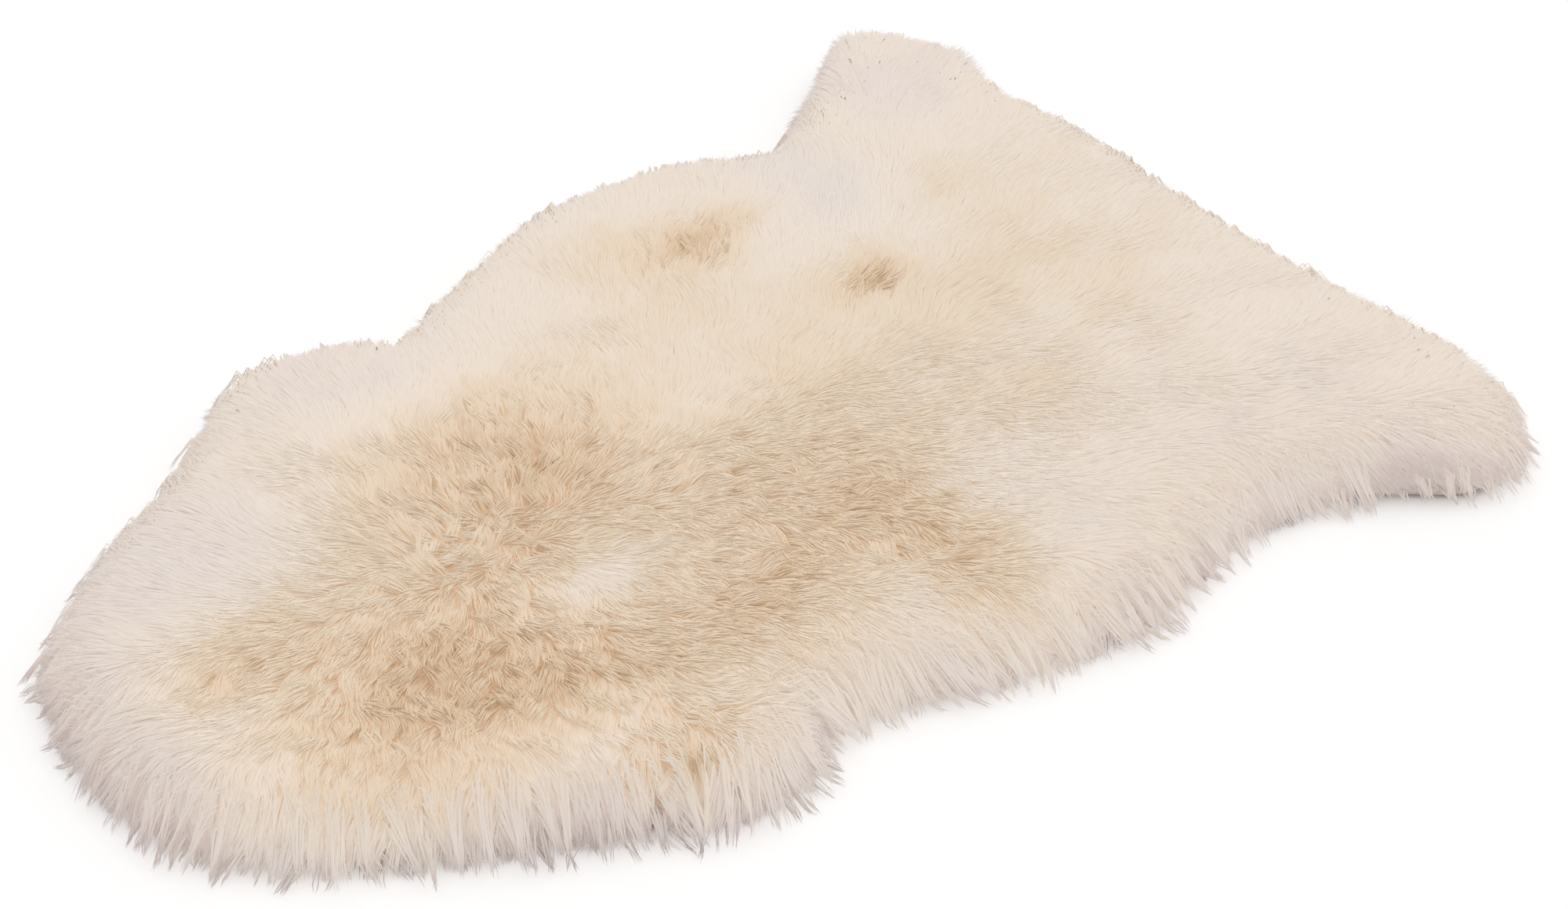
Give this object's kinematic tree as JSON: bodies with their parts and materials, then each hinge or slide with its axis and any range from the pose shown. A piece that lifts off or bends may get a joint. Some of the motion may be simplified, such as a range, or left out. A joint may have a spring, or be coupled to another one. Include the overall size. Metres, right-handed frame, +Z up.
{
  "type": "sheepskin rug",
  "caption": "Whole sheepskin with deep cream wool, laid flat with the wool up, to soften and warm a floor, a bench or a seat.",
  "frame": {"origin": "middle of the pelt's length and width, on the surface that it lies on", "axes": "+X runs along the spine from the neck to the rump, +Y points to the pelt's left side, and +Z is up, out of the wool"},
  "size_m": [0.93, 0.695, 0.0537],
  "materials": {
    "wool": "soft, matt, fluffy wool",
    "skin": "matt suede, the bare underside of the pelt"
  },
  "bodies": {
    "root": {"sheepskin": "wool"}
  },
  "joints": []
}
